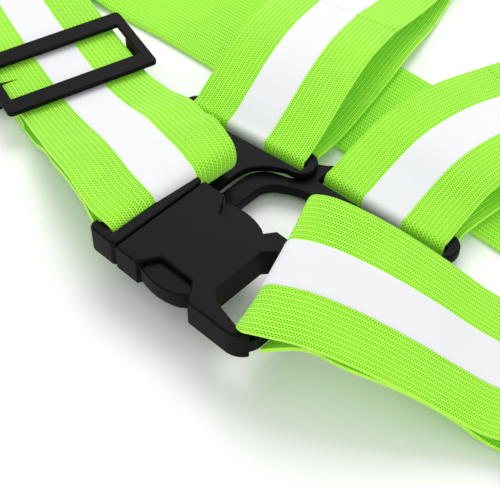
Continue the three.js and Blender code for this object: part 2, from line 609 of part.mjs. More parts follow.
buildSocket();
buildPlug();
buildProng('near_release_prong', -1);
buildProng('far_release_prong', 1);
buildLeftPlate();
buildRightPlate();
buildRivet();
buildRightBelt();
buildLeftBelt();
buildRearBelt();
buildShoulder('shoulder_left', -1, {
  slot: LEFT_SLOT,
  bar: { v: 1.5, z: 7, radius: 2.1 },
  loopRun: [
    [-30.4, 53.6, 12, 189], [-33.8, 67, 16, 193], [-37.6, 81, 16.8, 193],
    [SHOULDER_LEFT_START.x, SHOULDER_LEFT_START.y, 14.2, SHOULDER_LEFT_HEADING + 90],
  ],
  start: SHOULDER_LEFT_START,
  heading: SHOULDER_LEFT_HEADING,
  slider: SHOULDER_LEFT_SLIDER,
  returnRun: [
    [-52, 148, GROUND_Z, 190], [-44, 122, 1.5, 189], [-40, 106, OVER_BELT_Z, 188],
    [-34, 80, OVER_BELT_Z, 187], [-30.3, 60.4, OVER_BELT_Z + 0.3, 186], [-29.2, 50.2, 4.9, 186],
  ],
});
buildShoulder('shoulder_right', 1, {
  slot: RIGHT_SLOT,
  bar: { v: 1.25, z: 3.95, radius: 2.65 },
  loopRun: [
    [16.7, 60.4, 8.2, 180], [17, 73, 11.4, 177], [19.4, 89, 12.2, 172],
    [SHOULDER_RIGHT_START.x, SHOULDER_RIGHT_START.y, 10.4, SHOULDER_RIGHT_HEADING + 90],
  ],
  start: SHOULDER_RIGHT_START,
  heading: SHOULDER_RIGHT_HEADING,
  slider: SHOULDER_RIGHT_SLIDER,
  returnRun: [
    [37, 152, GROUND_Z, 168], [28.6, 122, 1.5, 170], [24.6, 106, OVER_BELT_Z, 173],
    [20.4, 86, OVER_BELT_Z, 176], [17.8, 61.4, OVER_BELT_Z + 0.2, 181], [17.4, 58.1, 3, 182],
    [17.2, 55.8, 1.6, 182.6], [17.2, 54.4, 1.3, 182.6],
  ],
});

// The part stands on z = 0 with its middle over the origin.
const extent = new THREE.Box3().setFromObject(vest, true);
const middle = extent.getCenter(new THREE.Vector3());
vest.position.set(-middle.x, -middle.y, -extent.min.z);

export default vest;
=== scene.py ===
import math

import bmesh
import bpy
import numpy as np
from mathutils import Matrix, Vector


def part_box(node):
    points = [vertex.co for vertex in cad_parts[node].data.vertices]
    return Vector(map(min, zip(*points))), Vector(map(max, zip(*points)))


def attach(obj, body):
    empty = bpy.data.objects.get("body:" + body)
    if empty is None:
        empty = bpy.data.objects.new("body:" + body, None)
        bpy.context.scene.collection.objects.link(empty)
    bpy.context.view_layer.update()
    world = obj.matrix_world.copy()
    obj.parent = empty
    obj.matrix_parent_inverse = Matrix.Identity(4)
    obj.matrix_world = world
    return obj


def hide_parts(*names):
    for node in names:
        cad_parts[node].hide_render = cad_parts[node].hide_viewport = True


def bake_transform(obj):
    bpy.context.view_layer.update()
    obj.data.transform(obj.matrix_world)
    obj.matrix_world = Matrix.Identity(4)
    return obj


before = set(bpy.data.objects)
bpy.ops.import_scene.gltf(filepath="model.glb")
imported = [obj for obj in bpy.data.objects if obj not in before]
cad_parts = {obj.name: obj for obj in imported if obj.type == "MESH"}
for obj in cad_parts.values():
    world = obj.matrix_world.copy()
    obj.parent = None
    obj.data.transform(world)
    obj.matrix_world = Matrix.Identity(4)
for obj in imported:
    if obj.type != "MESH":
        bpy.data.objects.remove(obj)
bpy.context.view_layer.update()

bl_info = {
    "name": "High visibility vest",
    "version": (1, 0, 0),
    "blender": (4, 5, 0),
    "location": "View3D > Sidebar > Vest",
    "description": "Lays out a reflective harness vest of elastic strap round its buckle",
    "category": "Object",
}

# The maker's drawing is in millimetres from the middle of the buckle, at the height of the ground.
PLUG_LOW, PLUG_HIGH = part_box("buckle_plug")
PLUG_OUTER_X = -28.0
BUCKLE_UNDERSIDE = 8.5
ORIGIN = Vector((
    PLUG_LOW.x - PLUG_OUTER_X / 1000,
    (PLUG_LOW.y + PLUG_HIGH.y) / 2,
    PLUG_LOW.z - BUCKLE_UNDERSIDE / 1000,
))

# Heights of the layers.
GROUND_Z = 1.0
UPPER_Z = 6.6
OVER_BELT_Z = 3.6
HANGER_BELT_Z = 2.95

STRAP_HALF = 20.0
TAPE_SHARE = 13.0 / 40.0
LEFT_SLOT = (-28.5, 43.8, 6.0)
RIGHT_SLOT = (17.5, 50.0, 2.6)
SHOULDER_FOLD = (105.0, 400.0)
HANGER_AT = (142.0, 79.0)
HANGER_BAR_Y = 108.9
SIDE_FOLD_X = 184.0


def place(x, y, z):
    """A point of the maker's drawing in the row frame."""
    return ORIGIN + Vector((x, y, z)) / 1000


# ---------------------------------------------------------------- sizes and colours

class VestSizes(bpy.types.PropertyGroup):
    strap_thickness: bpy.props.FloatProperty(
        name="Strap thickness", description="Thickness of the knitted elastic",
        default=0.0014, min=0.0005, max=0.003, unit="LENGTH", precision=5)
    tape_thickness: bpy.props.FloatProperty(
        name="Tape thickness", description="How far the reflective tape stands on the elastic",
        default=0.00024, min=0.0001, max=0.0006, unit="LENGTH", precision=5)
    ring_spacing: bpy.props.FloatProperty(
        name="Ring spacing", description="Distance between the rings of a strap's mesh",
        default=0.0009, min=0.0005, max=0.004, unit="LENGTH", precision=5)
    rib_pitch: bpy.props.FloatProperty(
        name="Rib pitch", description="Distance between the ribs of the elastic, in millimetres",
        default=1.33, min=0.5, max=4)
    loop_pitch: bpy.props.FloatProperty(
        name="Loop pitch", description="Distance between the knitted loops, in millimetres",
        default=0.75, min=0.3, max=3)
    moulded_edge: bpy.props.FloatProperty(
        name="Moulded edge", description="Rounding of the edges of the moulded pieces",
        default=0.0003, min=0.0001, max=0.001, unit="LENGTH", precision=5)
    camera_distance: bpy.props.FloatProperty(
        name="Camera distance", description="Distance from the camera to the buckle",
        default=0.30, min=0.1, max=2, unit="LENGTH")
    camera_azimuth: bpy.props.FloatProperty(
        name="Camera azimuth", description="Turn of the camera round the vest",
        default=math.radians(43.7), unit="ROTATION")
    camera_elevation: bpy.props.FloatProperty(
        name="Camera elevation", description="Height of the camera over the ground plane",
        default=math.radians(49), unit="ROTATION")


class VestColours(bpy.types.PropertyGroup):
    elastic: bpy.props.FloatVectorProperty(
        name="Elastic", description="Colour of the lit elastic", subtype="COLOR", size=4,
        default=(0.30, 0.76, 0.028, 1), min=0, max=1)
    # painted highlight: the lighter colour put on the tops of the ribs, where light falls; the sewing thread
    # takes it as its own colour
    ridge_highlight: bpy.props.FloatVectorProperty(
        name="Ridge", description="Colour of the ridges between the loops", subtype="COLOR", size=4,
        default=(0.48, 0.88, 0.075, 1), min=0, max=1)
    # painted shade: the dark colour put in the hollows of the knit, where shade falls
    loop: bpy.props.FloatVectorProperty(
        name="Loop", description="Colour in the hollows of the knit", subtype="COLOR", size=4,
        default=(0.012, 0.26, 0.002, 1), min=0, max=1)
    tape: bpy.props.FloatVectorProperty(
        name="Tape", description="Colour of the reflective tape", subtype="COLOR", size=4,
        default=(0.27, 0.272, 0.28, 1), min=0, max=1)
    plastic: bpy.props.FloatVectorProperty(
        name="Plastic", description="Colour of the moulded plastic", subtype="COLOR", size=4,
        default=(0.0022, 0.0022, 0.0024, 1), min=0, max=1)
    floor: bpy.props.FloatVectorProperty(
        name="Floor", description="Colour of the ground under the vest", subtype="COLOR", size=4,
        default=(0.95, 0.95, 0.95, 1), min=0, max=1)


# ---------------------------------------------------------------- finishes

class Finish:
    """A material under construction: small helpers for its nodes and links."""

    def __init__(self, name):
        self.material = bpy.data.materials.new(name)
        self.material.use_nodes = True
        self.tree = self.material.node_tree
        self.shader = self.tree.nodes["Principled BSDF"]

    def node(self, kind, **settings):
        made = self.tree.nodes.new(kind)
        for key, value in settings.items():
            setattr(made, key, value)
        return made

    def link(self, source, target):
        self.tree.links.new(source, target)

    def feed(self, socket, value):
        if isinstance(value, bpy.types.NodeSocket):
            self.link(value, socket)
        else:
            socket.default_value = value

    def math(self, operation, a, b=0.0, c=0.0):
        made = self.node("ShaderNodeMath", operation=operation)
        for socket, value in zip(made.inputs, (a, b, c)):
            self.feed(socket, value)
        return made.outputs[0]

    def ramp(self, value, low, high, to_low=0.0, to_high=1.0):
        made = self.node("ShaderNodeMapRange", interpolation_type="SMOOTHSTEP")
        for socket, part in zip(made.inputs, (value, low, high, to_low, to_high)):
            self.feed(socket, part)
        return made.outputs[0]

    def mix(self, share, a, b):
        made = self.node("ShaderNodeMix", data_type="RGBA")
        self.feed(made.inputs["Factor"], share)
        self.feed(made.inputs["A"], a)
        self.feed(made.inputs["B"], b)
        return made.outputs["Result"]

    def noise(self, vector, scale, detail=2.0, roughness=0.5):
        made = self.node("ShaderNodeTexNoise")
        self.link(vector, made.inputs["Vector"])
        made.inputs["Scale"].default_value = scale
        made.inputs["Detail"].default_value = detail
        made.inputs["Roughness"].default_value = roughness
        return made.outputs["Fac"]

    def object_place(self):
        return self.node("ShaderNodeTexCoord").outputs["Object"]

    def bump(self, height, strength, distance):
        made = self.node("ShaderNodeBump")
        made.inputs["Strength"].default_value = strength
        made.inputs["Distance"].default_value = distance
        self.link(height, made.inputs["Height"])
        self.link(made.outputs["Normal"], self.shader.inputs["Normal"])

    def surface(self, colour, **constants):
        self.feed(self.shader.inputs["Base Color"], colour)
        for name, value in constants.items():
            self.shader.inputs[name.replace("_", " ").capitalize()].default_value = value


def knitted_elastic(sizes, colours):
    """Ribbed elastic: loops in staggered rows between lengthwise ridges, laid out on the strap. Painted
    shade darkens the hollows of the loops, patchy over the strap, and a painted highlight lightens the
    ridges.
    """
    finish = Finish("knitted_elastic")
    cloth = finish.node("ShaderNodeUVMap", uv_map="weave").outputs["UV"]
    split = finish.node("ShaderNodeSeparateXYZ")
    finish.link(cloth, split.inputs[0])
    across, along = split.outputs[0], split.outputs[1]
    rib = finish.math("COSINE", finish.math("MULTIPLY", across, 2 * math.pi / sizes.rib_pitch))
    row = finish.math("DIVIDE", across, sizes.rib_pitch / 2)
    shift = finish.math("MULTIPLY", finish.math("MODULO", finish.math("FLOOR", row), 2.0), 0.5)
    course = finish.math("ADD", finish.math("DIVIDE", along, sizes.loop_pitch), shift)
    from_row = finish.math("SUBTRACT", finish.math("FRACT", row), 0.5)
    from_course = finish.math("SUBTRACT", finish.math("FRACT", course), 0.5)
    reach = finish.math("SQRT", finish.math(
        "ADD", finish.math("POWER", from_row, 2.0), finish.math("POWER", from_course, 2.0)))
    # painted shade: dark spots in the hollows of the knit loops
    loop = finish.ramp(reach, 0.40, 0.14)
    spot = finish.object_place()
    # patchy noise that varies the strength of the painted hollow shade
    hollow_shade_patchiness = finish.ramp(finish.noise(spot, 45.0, 3.0), 0.35, 0.65, 0.6, 1.0)
    # painted highlight: the ridges of the ribs take the lighter ridge colour
    ridge_highlight = finish.ramp(rib, -0.6, 1.0)
    lit = finish.mix(ridge_highlight, tuple(colours.elastic), tuple(colours.ridge_highlight))
    shade = finish.math("MULTIPLY", loop, hollow_shade_patchiness)
    finish.surface(finish.mix(shade, lit, tuple(colours.loop)), Roughness=0.78)
    finish.shader.inputs["Specular IOR Level"].default_value = 0.25
    finish.shader.inputs["Sheen Weight"].default_value = 0.15
    # painted glow: a steady green emission stands in for the extra brightness of the fluorescent dye
    finish.shader.inputs["Emission Color"].default_value = (0.16, 0.8, 0.0, 1)
    finish.shader.inputs["Emission Strength"].default_value = 0.12
    height = finish.math("SUBTRACT", finish.math("MULTIPLY", ridge_highlight, 0.6), loop)
    finish.bump(height, 0.55, 0.00022)
    return finish.material


def reflective_tape(colours):
    """Silver tape of fine glass beads, with a faint grain and soft creases; the colour is painted darker in
    the low parts of the creases as shade.
    """
    finish = Finish("reflective_tape")
    spot = finish.object_place()
    grain = finish.noise(spot, 2600.0, 2.0)
    crease = finish.noise(spot, 90.0, 3.0)
    tone = finish.math("ADD", finish.math("MULTIPLY", grain, 0.5), finish.math("MULTIPLY", crease, 0.5))
    silver = tuple(colours.tape)
    darker = tuple(0.82 * part for part in silver[:3]) + (1.0,)
    # partly random grain tone, partly painted shade: the tape is darker where the crease noise dips
    finish.surface(finish.mix(finish.ramp(tone, 0.3, 0.7), darker, silver), Roughness=0.6)
    finish.shader.inputs["Specular IOR Level"].default_value = 0.35
    finish.bump(tone, 0.25, 0.0002)
    return finish.material


def moulded_plastic(name, colour, roughness=0.5):
    """Black plastic with the fine matt grain that it takes from its mould."""
    finish = Finish(name)
    spot = finish.object_place()
    grain = finish.noise(spot, 1500.0, 3.0, 0.6)
    lighter = tuple(1.5 * part for part in colour[:3]) + (1.0,)
    finish.surface(finish.mix(finish.ramp(grain, 0.35, 0.7), tuple(colour), lighter), Roughness=roughness)
    finish.shader.inputs["Specular IOR Level"].default_value = 0.08
    finish.bump(grain, 0.16, 0.0002)
    return finish.material


def turned_steel():
    finish = Finish("turned_steel")
    grain = finish.noise(finish.object_place(), 1800.0, 2.0)
    finish.surface(finish.mix(grain, (0.36, 0.37, 0.38, 1), (0.6, 0.61, 0.62, 1)), Roughness=0.36)
    finish.shader.inputs["Metallic"].default_value = 0.9
    return finish.material


def sewing_thread(colour):
    """Close rows of twisted thread across a bar tack, with painted shade in the grooves between the rows."""
    finish = Finish("sewing_thread")
    spot = finish.object_place()
    wave = finish.node("ShaderNodeTexWave", wave_type="BANDS", bands_direction="Y")
    finish.link(spot, wave.inputs["Vector"])
    wave.inputs["Scale"].default_value = 400.0
    wave.inputs["Distortion"].default_value = 1.5
    # painted shade: the grooves between the thread rows are darker
    dark = tuple(0.55 * part for part in colour[:3]) + (1.0,)
    finish.surface(finish.mix(wave.outputs["Fac"], dark, tuple(colour)), Roughness=0.7)
    finish.bump(wave.outputs["Fac"], 0.6, 0.0003)
    return finish.material


def floor_paper(colour):
    finish = Finish("floor_paper")
    grain = finish.noise(finish.object_place(), 60.0, 2.0)
    darker = tuple(0.985 * part for part in colour[:3]) + (1.0,)
    finish.surface(finish.mix(grain, darker, tuple(colour)), Roughness=0.9)
    finish.shader.inputs["Specular IOR Level"].default_value = 0.1
    return finish.material


def finishes():
    """The vest's finishes, made once and shared by all its pieces."""
    if "knitted_elastic" not in bpy.data.materials:
        sizes, colours = bpy.context.scene.vest_sizes, bpy.context.scene.vest_colours
        knitted_elastic(sizes, colours)
        reflective_tape(colours)
        moulded_plastic("moulded_plastic", colours.plastic)
        turned_steel()
        sewing_thread(colours.ridge_highlight)
        floor_paper(colours.floor)
    return bpy.data.materials


def dress(piece, finish):
    """Gives a piece its one finish."""
    piece.data.materials.clear()
    piece.data.materials.append(finishes()[finish])
    return piece


# ---------------------------------------------------------------- straps

def station(x, y, z, width_angle, half=STRAP_HALF, rise=0.0):
    """The two edges of a strap at one place: its right edge, then its left edge."""
    angle = math.radians(width_angle)
    across = np.array((math.cos(angle) * half, math.sin(angle) * half, rise))
    middle = np.array((x, y, z), float)
    return middle - across, middle + across


def between(right, left):
    """A station given by its two edges."""
    return np.array(right, float), np.array(left, float)


def through(points, fine=40):
    """Close samples of a smooth curve through the points, the same number between each two."""
    points = np.asarray(points, float)
    first = 2 * points[0] - points[1]
    last = 2 * points[-1] - points[-2]
    knots = np.vstack([first, points, last])
    share = np.linspace(0, 1, fine, endpoint=False)[:, None]
    runs = []
    for p0, p1, p2, p3 in zip(knots, knots[1:], knots[2:], knots[3:]):
        gaps = [max(np.linalg.norm(b - a), 1e-3) ** 0.5 for a, b in ((p0, p1), (p1, p2), (p2, p3))]
        g0, g1, g2 = gaps
        out = ((p1 - p0) / g0 - (p2 - p0) / (g0 + g1) + (p2 - p1) / g1) * g1
        into = ((p2 - p1) / g1 - (p3 - p1) / (g1 + g2) + (p3 - p2) / g2) * g1
        runs.append(
            (2 * share ** 3 - 3 * share ** 2 + 1) * p1
            + (share ** 3 - 2 * share ** 2 + share) * out
            + (3 * share ** 2 - 2 * share ** 3) * p2
            + (share ** 3 - share ** 2) * into
        )
    return np.vstack(runs + [points[-1:]])


def rulings(stations, spacing, span=(0.0, 1.0)):
    """Evenly spaced edge pairs of a strap and their distances along it, in millimetres."""
    right = through([pair[0] for pair in stations])
    left = through([pair[1] for pair in stations])
    middle = (right + left) / 2
    steps = np.linalg.norm(np.diff(middle, axis=0), axis=1)
    distance = np.concatenate([[0], np.cumsum(steps)])
    start, end = span[0] * distance[-1], span[1] * distance[-1]
    count = max(4, int(round((end - start) / spacing)))
    wanted = np.linspace(start, end, count + 1)
    pick = lambda edge: np.stack([np.interp(wanted, distance, edge[:, k]) for k in range(3)], axis=1)
    return pick(right), pick(left), wanted


def deselect():
    if bpy.context.mode != "OBJECT":
        bpy.ops.object.mode_set(mode="OBJECT")
    bpy.ops.object.select_all(action="DESELECT")


def make_only(piece):
    """Selects one piece and makes it the active one."""
    deselect()
    piece.select_set(True)
    bpy.context.view_layer.objects.active = piece
    return piece


def apply_modifiers(piece):
    make_only(piece)
    for modifier in list(piece.modifiers):
        bpy.ops.object.modifier_apply(modifier=modifier.name)


def lay_band(name, stations, *, thick, lift=0.0, shares=(0.0, 1.0), rows=22, edge=0.3,
             span=(0.0, 1.0), crown=None):
    """A flat band of cloth laid along its stations: a grid, thickened and with rounded edges.

    lift is how far its middle stands off the surface that the stations span, and crown adds a
    further height for each place on it, from its share of the width and distance along it.
    """
    spacing = bpy.context.scene.vest_sizes.ring_spacing * 1000
    right, left, distance = rulings(stations, spacing, span)
    count = len(distance) - 1
    deselect()
    bpy.ops.mesh.primitive_grid_add(x_subdivisions=rows, y_subdivisions=count, size=1)
    piece = bpy.context.object
    piece.name = name
    piece.data.name = name
    mesh = piece.data
    total = len(mesh.vertices)
    flat = np.zeros(total * 3)
    mesh.vertices.foreach_get("co", flat)
    flat = flat.reshape(-1, 3)
    ring = np.rint((flat[:, 1] + 0.5) * count).astype(int)
    share = shares[0] + (0.5 - flat[:, 0]) * (shares[1] - shares[0])
    across = left - right
    along_right, along_left = np.gradient(right, axis=0), np.gradient(left, axis=0)
    along = along_right[ring] * (1 - share)[:, None] + along_left[ring] * share[:, None]
    normal = np.cross(along, across[ring])
    normal /= np.linalg.norm(normal, axis=1)[:, None]
    height = np.full(total, float(lift))
    if crown is not None:
        height += crown(share, distance[ring])
    spots = right[ring] + across[ring] * share[:, None] + normal * height[:, None]
    spots = spots / 1000 + np.array(ORIGIN)
    mesh.vertices.foreach_set("co", spots.ravel())
    weave = mesh.uv_layers[0]
    weave.name = "weave"
    corner = np.zeros(len(mesh.loops), int)
    mesh.loops.foreach_get("vertex_index", corner)
    cloth = np.stack([share * 2 * STRAP_HALF, distance[ring]], axis=1)[corner]
    weave.data.foreach_set("uv", cloth.ravel())
    solid = piece.modifiers.new("thickness", "SOLIDIFY")
    solid.thickness = thick / 1000
    solid.offset = 0
    rounding = piece.modifiers.new("edges", "BEVEL")
    rounding.width = edge / 1000
    rounding.segments = 2
    rounding.limit_method = "ANGLE"
    rounding.angle_limit = math.radians(55)
    apply_modifiers(piece)
    bpy.ops.object.shade_smooth()
    return piece


def lay_strap(node, stations, *, tape_stations=None, span=(0.0, 1.0), suffix="", crown=None, tape=True):
    """One run of elastic with its reflective tape; returns both pieces."""
    sizes = bpy.context.scene.vest_sizes
    thick = sizes.strap_thickness * 1000
    tape_thick = sizes.tape_thickness * 1000
    elastic = lay_band(f"{node}_elastic{suffix}", stations, thick=thick, edge=0.42, span=span, crown=crown)
    dress(elastic, "knitted_elastic")
    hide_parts(node)
    if not tape:
        return [elastic]
    shares = (0.5 - TAPE_SHARE / 2, 0.5 + TAPE_SHARE / 2)
    reflective = lay_band(
        f"{node}_reflective{suffix}", tape_stations or stations, thick=tape_thick,
        lift=thick / 2 + tape_thick / 2 - 0.05, shares=shares, rows=10, edge=0.07, span=span, crown=crown)
    dress(reflective, "reflective_tape")
    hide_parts(f"{node}_tape")
    return [elastic, reflective]


def ride_all(made, body):
    for piece in made:
        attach(piece, body)


def blend_all(made, a, b, start, end):
    for piece in made:
        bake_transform(piece)


def on_course(start, heading, distance):
    angle = math.radians(heading)
    return start[0] + math.cos(angle) * distance, start[1] + math.sin(angle) * distance


def sewn_end(slider, heading):
    """A strap's far end: over the slider's centre bar, sewn to itself, then back along the ground."""
    tail = [(13, 3.05), (8.5, 3.3), (4.5, 4.6), (1.6, 4.9), (-1.6, 4.9), (-3.4, 4.2), (-4.1, 3.1)]
    ground = [(-3.4, 2.0), (-1.6, 1.3), (3, GROUND_Z), (12, GROUND_Z)]

    def at(distance, z):
        x, y = on_course(slider, heading + 180, distance)
        return station(x, y, z, heading + 90)

    return [at(*spot) for spot in tail], [at(*spot) for spot in ground]


def sew_tack(node, x, y, z, turn, body):
    """A bar tack: a low rounded bar of close stitches across the strap."""
    deselect()
    spot = place(x, y, z + 0.2)
    bpy.ops.mesh.primitive_cube_add(size=1, location=spot, rotation=(0, 0, math.radians(turn)))
    tack = bpy.context.object
    tack.name = f"{node}_thread"
    tack.data.name = tack.name
    tack.scale = (0.002, 0.028, 0.0005)
    bpy.ops.object.transform_apply(location=True, rotation=True, scale=True)
    rounding = tack.modifiers.new("rounding", "BEVEL")
    rounding.width = 0.0002
    rounding.segments = 3
    apply_modifiers(tack)
    bpy.ops.object.shade_smooth()
    dress(tack, "sewing_thread")
    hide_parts(node)
    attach(tack, body)


# ---------------------------------------------------------------- the belt

BELT_RIGHT = {"start": (18.0, 2.7), "heading": 25.0, "slider": 81.0}
BELT_LEFT = {"start": (-22.4, 8.0), "heading": 163.6, "slider": 69.0}
SHOULDER_LEFT = {"start": (-42.0, 98.0), "heading": 101.2, "slider": 82.0}
SHOULDER_RIGHT = {"start": (24.0, 106.0), "heading": 75.5, "slider": 92.0}


def slider_spot(course):
    return on_course(course["start"], course["heading"], course["slider"])


def along_course(course, x):
    """The y of a belt's middle line at a given x."""
    x0, y0 = course["start"]
    return y0 + (x - x0) * math.tan(math.radians(course["heading"]))


def right_belt_station(x, z, angle=None, half=STRAP_HALF, rise=0.0):
    slanted = BELT_RIGHT["heading"] + 90
    return station(x, along_course(BELT_RIGHT, x), z, slanted if angle is None else angle, half, rise)


def left_belt_station(x, z, half=STRAP_HALF, rise=0.0):
    return station(x, along_course(BELT_LEFT, x), z, BELT_LEFT["heading"] + 90, half, rise)


def build_right_belt():
    at = right_belt_station
    bar = lambda x, z: station(x, 0, z, 90, 10.5)
    upper = [
        bar(26.6, 9.8), bar(23.4, 9.8), bar(21.4, 10.3), bar(21, 12.4), bar(21, 15),
        station(20.8, 0.6, 17.6, 94, 12, 1.6), station(20.1, 2, 20.8, 101, 16, 3),
        station(20, 3.1, 23.4, 107, 18.6, 3.8), station(21.3, 4, 25.2, 111, 19.6, 4.2),
        station(24.6, 5.6, 25.9, 114, 20, 4.1), at(30, 25.6, rise=3.7), at(41, 22.4, rise=2.6),
        at(54, 16.2, rise=1.2), at(64, 10.4), at(71, 7.2), at(78, UPPER_Z), at(104, UPPER_Z),
        station(125, 50.6, UPPER_Z, 109), station(150, 57.4, UPPER_Z, 100),
        station(SIDE_FOLD_X, 60.5, UPPER_Z, 90),
    ]
    ride_all(lay_strap("belt_right_upper", upper), "harness")
    tail, ground = sewn_end(slider_spot(BELT_RIGHT), BELT_RIGHT["heading"])
    run = ground + [
        at(72, 2.4, half=19), at(65, 6.2, half=18), at(58, 10, half=18), at(50, 13.4, half=18.4),
        at(41, 15.2, 112, 18.2),
        at(33.4, 13, 102, 15), bar(27.4, 9.8),
    ]
    made = lay_strap("belt_right_return", tail + run, tape_stations=run[2:])
    near = on_course(BELT_RIGHT["start"], BELT_RIGHT["heading"], 14)
    far = on_course(BELT_RIGHT["start"], BELT_RIGHT["heading"], BELT_RIGHT["slider"] - 16)
    blend_all(made, "harness", "belt_right_adjuster", (*near, 0), (*far, 0))
    tack = on_course(slider_spot(BELT_RIGHT), BELT_RIGHT["heading"] + 180, 10)
    sew_tack("belt_right_stitch", *tack, 3.75, BELT_RIGHT["heading"], "belt_right_adjuster")


def build_left_belt():
    at = left_belt_station
    upper = [
        between((-27, 27.5, 9.8), (-27.4, -12.3, 9.8)), between((-22.6, 28.3, 10), (-25, -12.3, 9.9)),
        between((-19.7, 28.9, 12.4), (-22.7, -12.4, 12)), between((-19.2, 29.3, 15.8), (-22.4, -12.5, 15.6)),
        between((-20.6, 30, 18.4), (-23.4, -12.7, 17.6)), between((-24.5, 31.2, 19.6), (-26.4, -12.9, 18.4)),
        between((-31, 33.2, 19.6), (-32, -11.9, 17.6)), at(-41, 17, 21.4, -0.8),
        at(-48.5, 15.4, 21.4, -0.9), at(-54, 13.2, 21.2, -0.6), at(-60, 10.8, 20.8), at(-67, 8.6, 20.4),
        at(-74, 6.8), at(-80, UPPER_Z), at(-108, UPPER_Z),
        station(-130, 40.6, UPPER_Z, -107), station(-155, 50.4, UPPER_Z, -105),
        station(-SIDE_FOLD_X, 59.5, UPPER_Z, -90),
    ]
    ride_all(lay_strap("belt_left_upper", upper), "plug_side")
    tail, ground = sewn_end(slider_spot(BELT_LEFT), BELT_LEFT["heading"])
    run = ground + [
        at(-68, 2.6), at(-61, 6.2), at(-52, 10, 21), at(-44, 12.2, 21),
        between((-37.5, 32, 12.6), (-37.5, -9.6, 13.4)), between((-31.5, 29.4, 11), (-31.6, -11.6, 12.4)),
        between((-27, 27.5, 9.8), (-27.4, -12.3, 9.8)),
    ]
    made = lay_strap("belt_left_return", tail + run, tape_stations=run[2:])
    near = on_course(BELT_LEFT["start"], BELT_LEFT["heading"], 8)
    far = on_course(BELT_LEFT["start"], BELT_LEFT["heading"], BELT_LEFT["slider"] - 15)
    blend_all(made, "plug_side", "belt_left_adjuster", (*near, 0), (*far, 0))
    tack = on_course(slider_spot(BELT_LEFT), BELT_LEFT["heading"] + 180, 10)
    sew_tack("belt_left_stitch", *tack, 3.75, BELT_LEFT["heading"], "belt_left_adjuster")


def build_rear_belt():
    right_half = [
        (45, 83, GROUND_Z), (80, 82, GROUND_Z), (104, 80.2, GROUND_Z), (112, 79.6, 2.1),
        (124, 79, HANGER_BELT_Z), (142, 79, HANGER_BELT_Z), (168, 79, HANGER_BELT_Z),
        (176, 77, 2.5), (183, 73, 1.9),
    ]
    left_half = [(-x, y, z) for x, y, z in reversed(right_half)]
    rear = left_half + [(0, 83, GROUND_Z)] + right_half
    ride_all(lay_strap("belt_rear", [station(*spot, -90) for spot in rear]), "harness")


def fold_stations(side, top_y):
    spots = [
        (SIDE_FOLD_X, top_y, UPPER_Z), (SIDE_FOLD_X + 4.5, top_y + 2, 6.1),
        (SIDE_FOLD_X + 6.6, top_y + 5, 4.2), (SIDE_FOLD_X + 4.5, top_y + 9, 2.3),
        (SIDE_FOLD_X - 1, top_y + 13, 1.9),
    ]
    return [station(side * x, y, z, -90) for x, y, z in spots]


def build_side_folds():
    made = lay_strap("belt_left_fold", fold_stations(-1, 59.6))
    blend_all(made, "plug_side", "harness", (-SIDE_FOLD_X, 66, UPPER_Z), (-SIDE_FOLD_X, 66, 1.9))
    ride_all(lay_strap("belt_right_fold", fold_stations(1, 60.6)[::-1]), "harness")


# ---------------------------------------------------------------- the shoulders

def in_slot(slot, v, z):
    """A station across the middle of a yoke slot, v beyond its centre line."""
    turn = math.radians(slot[2])
    return station(slot[0] - math.sin(turn) * v, slot[1] + math.cos(turn) * v, z, slot[2] + 180)


def squared_turn(degrees):
    """A direction round a bar's section, pushed out at the corners so that the strap clears them."""
    angle = math.radians(degrees)
    return [math.copysign(abs(part) ** 0.4, part) for part in (math.cos(angle), math.sin(angle))]


def slot_loop(slot, bar_v, bar_z, radius, loop_run):
    bend = []
    for degrees in (-90, -135, -180, -225, -270):
        out, up = squared_turn(degrees)
        bend.append(in_slot(slot, bar_v + out * radius, bar_z + up * radius))
    start = in_slot(slot, bar_v + 2.6, bar_z - radius)
    return [start] + bend + [station(*spot) for spot in loop_run]


def build_front_shoulder(name, course, side, slot, bar, loop_run, return_run, loop_bodies):
    loop = lay_strap(f"{name}_loop", slot_loop(slot, *bar, loop_run))
    start, heading = course["start"], course["heading"]

    def at(distance, z):
        x, y = on_course(start, heading, distance)
        return station(x, y, z, heading + 90)

    loop_end_z = loop_run[-1][2]
    upper = [
        at(0, loop_end_z), at(14, (loop_end_z + UPPER_Z) / 2), at(28, UPPER_Z + 0.8), at(42, UPPER_Z),
        at(course["slider"], UPPER_Z), at(160, UPPER_Z), at(260, UPPER_Z),
        station(side * SHOULDER_FOLD[0], SHOULDER_FOLD[1] - 1.5, UPPER_Z, 180),
    ]
    ride_all(lay_strap(f"{name}_upper", upper), "harness")
    if loop_bodies is None:
        ride_all(loop, "harness")
    else:
        blend_all(loop, *loop_bodies, (slot[0], slot[1] + 8, 0), (start[0], start[1] - 4, 0))
    tail, ground = sewn_end(slider_spot(course), heading)
    run = ground + [station(*spot) for spot in return_run]
    tack = on_course(slider_spot(course), heading + 180, 10)
    sew_tack(f"{name}_stitch", *tack, 3.75, heading, f"{name}_adjuster")
    return tail, run


